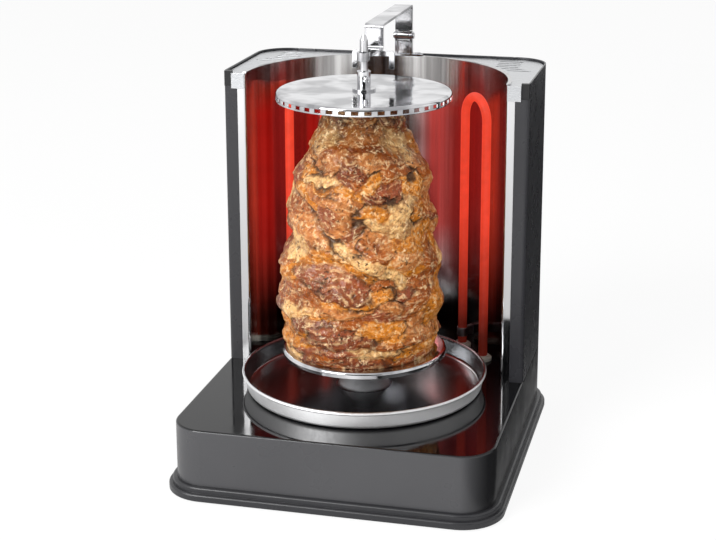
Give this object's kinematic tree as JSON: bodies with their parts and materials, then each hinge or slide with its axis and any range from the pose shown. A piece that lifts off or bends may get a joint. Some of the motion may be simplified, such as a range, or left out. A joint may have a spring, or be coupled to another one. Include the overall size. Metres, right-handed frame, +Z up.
{
  "type": "electric skewer grill",
  "caption": "Upright electric grill: skewered meat turns on a driven hub before a half-round reflector with hairpin heaters, over a round drip tray.",
  "frame": {"origin": "on the table under the middle of the base", "axes": "+X to the right seen from the front, +Y to the back, +Z up along the skewer"},
  "size_m": [0.316, 0.341, 0.416],
  "materials": {
    "pan_plastic": "moulded, satin black",
    "foot_rubber": "matt black",
    "base_enamel": "glossy black stove enamel",
    "side_enamel": "charcoal satin enamel",
    "black_plastic": "black",
    "zinc_steel": "zinc plated",
    "mirror_steel": "mirror polished stainless steel",
    "plate_steel": "fine brushed",
    "heater_glow": "sheathed element, glowing orange red",
    "ceramic": "unglazed steatite",
    "bright_steel": "bright polished steel",
    "tray_steel": "polished stainless steel",
    "bush_bronze": "sintered bronze",
    "wire_cover": "silicone covered wire",
    "roast_meat": "roasted sliced meat, moist and browned"
  },
  "bodies": {
    "root": {"base_pan": "pan_plastic", "foot_pads": "foot_rubber", "base_posts": "zinc_steel", "base_screws": "zinc_steel", "base_housing": "base_enamel", "left_side_panel": "side_enamel", "right_side_panel": "side_enamel", "back_panel": "side_enamel", "panel_screws": "zinc_steel", "corner_plugs": "black_plastic", "left_post": "zinc_steel", "right_post": "zinc_steel", "reflector": "mirror_steel", "left_top_plate": "plate_steel", "right_top_plate": "plate_steel", "rear_rail": "zinc_steel", "left_heater": "heater_glow", "right_heater": "heater_glow", "heater_bushes": "ceramic", "heater_terminals": "zinc_steel", "heater_clips": "zinc_steel", "motor_gear_case": "zinc_steel", "motor_coil_case": "zinc_steel", "motor_bracket": "zinc_steel", "motor_screws": "zinc_steel", "hub_bush": "bush_bronze", "arm_bracket": "bright_steel", "arm_pin": "bright_steel", "bracket_screws": "zinc_steel", "power_switch": "black_plastic", "cable_gland": "black_plastic", "terminal_block": "ceramic", "thermal_cutout": "black_plastic", "wiring": "wire_cover"},
    "drive": {"motor_shaft": "bright_steel", "drive_hub": "bright_steel"},
    "spit": {"skewer": "bright_steel", "skewer_foot": "bright_steel", "skewer_pin": "bright_steel", "lower_disc": "bright_steel", "meat_stack": "roast_meat"},
    "press": {"press_disc": "bright_steel", "press_collar": "bright_steel"},
    "clamp": {"clamp_screw": "bright_steel"},
    "tray": {"drip_tray": "tray_steel"},
    "arm": {"holder_arm": "bright_steel", "arm_eye": "bright_steel", "arm_yoke": "bright_steel"},
    "rocker": {"power_rocker": "black_plastic"}
  },
  "joints": [
    {"name": "spit_drive", "type": "hinge", "parent": "root", "child": "drive", "pos_m": [0, -0.015, 0.08], "axis": [0, 0, 1], "continuous": true},
    {"name": "spit_lift", "type": "slide", "parent": "drive", "child": "spit", "axis": [0, 0, 1], "range_m": [0, 0.008]},
    {"name": "press_disc_slide", "type": "slide", "parent": "spit", "child": "press", "axis": [0, 0, 1], "range_m": [0, 0.006]},
    {"name": "clamp_screw_turn", "type": "hinge", "parent": "press", "child": "clamp", "pos_m": [0, -0.015, 0.3709], "axis": [0.5446, -0.8387, 0], "range_deg": [0, 180]},
    {"name": "tray_lift", "type": "slide", "parent": "root", "child": "tray", "axis": [0, 0, 1], "range_m": [0, 0.012]},
    {"name": "arm_swing", "type": "hinge", "parent": "root", "child": "arm", "pos_m": [0, 0.156, 0.384], "axis": [-1, 0, 0], "range_deg": [0, 95]},
    {"name": "rocker_tilt", "type": "hinge", "parent": "root", "child": "rocker", "pos_m": [-0.149, -0.07, 0.04], "axis": [0, 0, 1], "range_deg": [0, 16]}
  ]
}
